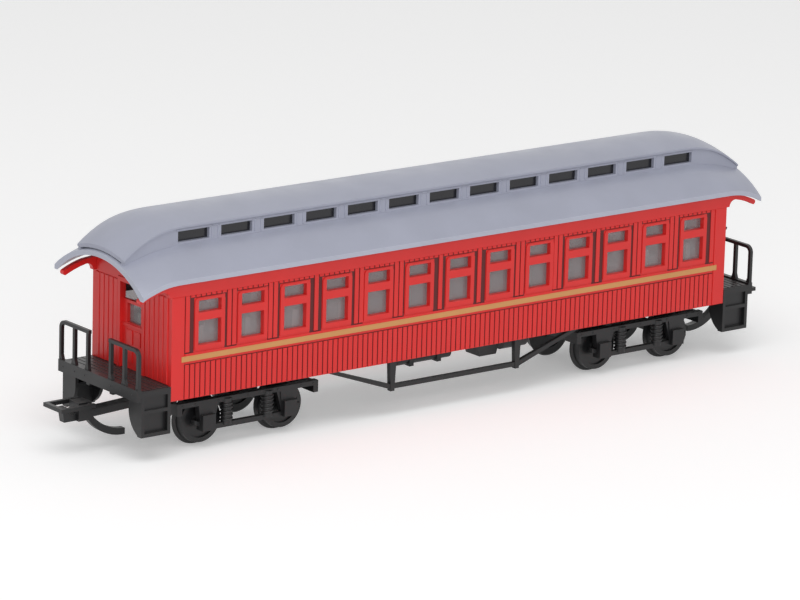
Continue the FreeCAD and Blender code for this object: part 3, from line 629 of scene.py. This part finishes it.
def make_beam_rivets(cfg, materials):
    """Rivet heads along the end beams."""
    y = np.array([-13.5, -9.0, -5.0, 5.0, 9.0, 13.5]) * MM
    height = 15.5 * MM
    for end, sign in ENDS.items():
        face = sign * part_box("platform_front")[1][0]
        spots = np.stack([np.full(len(y), face), y, np.full(len(y), height)], 1)
        verts, faces = dome_mesh(spots, cfg.rivet, (sign, 0, 0))
        make_piece("beam_rivets_" + end, verts, faces, materials["underframe_black"], "coach",
                   smooth=True)


# ---------------------------------------------------------------- stage
def make_area(name, place, target, size, power):
    """Soft rectangular lamp aimed at a point."""
    data = bpy.data.lights.new(name, "AREA")
    data.shape = "RECTANGLE"
    data.size, data.size_y = size
    data.energy = power
    lamp = bpy.data.objects.new(name, data)
    lamp.location = place
    lamp.rotation_euler = (Vector(target) - Vector(place)).to_track_quat("-Z", "Y").to_euler()
    bpy.context.scene.collection.objects.link(lamp)


def seen_directly(tree):
    """Socket that is 1 for what the camera, a reflection or a pane sees, and 0 for light."""
    path = tree.nodes.new("ShaderNodeLightPath")
    total = path.outputs["Is Camera Ray"]
    for label in ("Is Glossy Ray", "Is Transmission Ray"):
        either = tree.nodes.new("ShaderNodeMath")
        either.operation = "MAXIMUM"
        tree.links.new(total, either.inputs[0])
        tree.links.new(path.outputs[label], either.inputs[1])
        total = either.outputs[0]
    return total


def make_floor():
    """Plain pale floor that shows near white and keeps the carriage's shadow."""
    size = 6.0
    corners = np.array([(-size, -size, 0), (size, -size, 0), (size, size, 0), (-size, size, 0)])
    mesh = bpy.data.meshes.new("floor")
    mesh.from_pydata(corners.tolist(), [], [(0, 1, 2, 3)])
    floor = bpy.data.objects.new("floor", mesh)
    material, tree, shader = new_material("FloorPaper")
    shader.inputs["Base Color"].default_value = (0.86, 0.86, 0.86, 1.0)
    shader.inputs["Roughness"].default_value = 0.8
    shader.inputs["Specular IOR Level"].default_value = 0.1
    shader.inputs["Emission Color"].default_value = (1.0, 1.0, 1.0, 1.0)
    glow = map_range(tree, seen_directly(tree), 0.0, 1.0, 0.0, 0.3)
    tree.links.new(glow, shader.inputs["Emission Strength"])
    mesh.materials.append(material)
    bpy.context.scene.collection.objects.link(floor)


def make_world():
    """Even white surround that also lights the carriage softly."""
    world = bpy.data.worlds.new("Surround")
    world.use_nodes = True
    tree = world.node_tree
    background = tree.nodes["Background"]
    background.inputs["Color"].default_value = (1.0, 1.0, 1.0, 1.0)
    strength = map_range(tree, seen_directly(tree), 0.0, 1.0, 0.42, 1.0)
    tree.links.new(strength, background.inputs["Strength"])
    bpy.context.scene.world = world


def make_camera(cfg):
    """Camera with a set place, direction and roll."""
    data = bpy.data.cameras.new("camera")
    data.lens = cfg.lens
    data.sensor_width = 36.0
    data.clip_start = 0.01
    camera = bpy.data.objects.new("camera", data)
    right = Vector((0.79521, -0.60575, 0.02628))
    up = Vector((0.13527, 0.21949, 0.96619))
    back = Vector((-0.59105, -0.76477, 0.25649))
    turn = Matrix((right, up, back)).transposed().to_4x4()
    camera.matrix_world = Matrix.Translation(Vector(cfg.camera)) @ turn
    bpy.context.scene.collection.objects.link(camera)
    bpy.context.scene.camera = camera
    bpy.context.scene.view_settings.view_transform = "Standard"


def make_stage(cfg):
    """Floor, surround, camera and two soft lamps: one overhead, one beside the camera."""
    middle = (0, 0, 0.03)
    make_floor()
    make_world()
    make_camera(cfg)
    make_area("key", (-0.25, -0.35, 0.9), middle, (0.8, 0.6), cfg.key_light)
    make_area("fill", (-0.55, -0.85, 0.3), middle, (0.6, 0.5), cfg.fill_light)


# ---------------------------------------------------------------- operators
MATERIALS = {}


def finish_operator(names):
    """Raise an error if a piece that should exist was not made."""
    missing = [n for n in names if n not in bpy.data.objects]
    if missing:
        raise RuntimeError("pieces not made: " + ", ".join(missing))
    return {"FINISHED"}


class CARRIAGE_OT_finishes(bpy.types.Operator):
    """Make the finishes and give them to the frame's nodes"""
    bl_idname = "carriage.finishes"
    bl_label = "Finishes"

    def execute(self, context):
        MATERIALS.update(make_materials(context.scene.carriage_colors))
        assign_materials(MATERIALS)
        return finish_operator([])


class CARRIAGE_OT_side_boards(bpy.types.Operator):
    """Lay the matchboards on both side walls"""
    bl_idname = "carriage.side_boards"
    bl_label = "Side Boards"

    def execute(self, context):
        make_side_boards(context.scene.carriage_boards, MATERIALS)
        return finish_operator([kind + side for kind in ("side_grooves_", "side_boards_")
                                for side in SIDES])


class CARRIAGE_OT_end_boards(bpy.types.Operator):
    """Lay the boards on the end walls and platforms"""
    bl_idname = "carriage.end_boards"
    bl_label = "End Boards"

    def execute(self, context):
        make_end_boards(context.scene.carriage_boards, MATERIALS)
        make_platform_boards(MATERIALS)
        return finish_operator([kind + end for kind in ("end_boards_", "platform_boards_")
                                for end in ENDS])


class CARRIAGE_OT_clerestory(bpy.types.Operator):
    """Add the ribs between the clerestory windows"""
    bl_idname = "carriage.clerestory"
    bl_label = "Clerestory Ribs"

    def execute(self, context):
        make_clerestory_ribs(context.scene.carriage_trim, MATERIALS)
        return finish_operator(["clerestory_ribs_left", "clerestory_ribs_right"])


class CARRIAGE_OT_running_gear(bpy.types.Operator):
    """Add the springs and rivets of the bogies and beams"""
    bl_idname = "carriage.running_gear"
    bl_label = "Running Gear"

    def execute(self, context):
        make_springs(context.scene.carriage_trim, MATERIALS)
        make_bogie_rivets(context.scene.carriage_trim, MATERIALS)
        make_beam_rivets(context.scene.carriage_trim, MATERIALS)
        return finish_operator([kind + end for kind in ("springs_", "bogie_rivets_", "beam_rivets_")
                                for end in ENDS])


class CARRIAGE_OT_stage(bpy.types.Operator):
    """Set up the floor, light and camera"""
    bl_idname = "carriage.stage"
    bl_label = "Stage"

    def execute(self, context):
        make_stage(context.scene.carriage_stage)
        return finish_operator(["floor", "camera", "key", "fill"])


class CARRIAGE_PT_panel(bpy.types.Panel):
    """Sizes and buttons of the carriage"""
    bl_label = "Carriage"
    bl_space_type = "VIEW_3D"
    bl_region_type = "UI"
    bl_category = "Carriage"

    def draw(self, context):
        for group in GROUPS:
            settings = getattr(context.scene, group)
            for name in settings.bl_rna.properties.keys():
                if name not in ("rna_type", "name"):
                    self.layout.prop(settings, name)
        for operator in OPERATORS:
            self.layout.operator(operator.bl_idname)


GROUPS = {"carriage_boards": CarriageBoards, "carriage_colors": CarriageColors,
          "carriage_trim": CarriageTrim, "carriage_stage": CarriageStage}
OPERATORS = (CARRIAGE_OT_finishes, CARRIAGE_OT_side_boards, CARRIAGE_OT_end_boards,
             CARRIAGE_OT_clerestory, CARRIAGE_OT_running_gear, CARRIAGE_OT_stage)


def register():
    for name, group in GROUPS.items():
        bpy.utils.register_class(group)
        setattr(bpy.types.Scene, name, bpy.props.PointerProperty(type=group))
    for operator in OPERATORS:
        bpy.utils.register_class(operator)
    bpy.utils.register_class(CARRIAGE_PT_panel)


def unregister():
    bpy.utils.unregister_class(CARRIAGE_PT_panel)
    for operator in reversed(OPERATORS):
        bpy.utils.unregister_class(operator)
    for name, group in GROUPS.items():
        delattr(bpy.types.Scene, name)
        bpy.utils.unregister_class(group)


def main():
    register()
    bpy.ops.carriage.finishes()
    bpy.ops.carriage.side_boards()
    bpy.ops.carriage.end_boards()
    bpy.ops.carriage.clerestory()
    bpy.ops.carriage.running_gear()
    bpy.ops.carriage.stage()


if __name__ == "__main__":
    main()
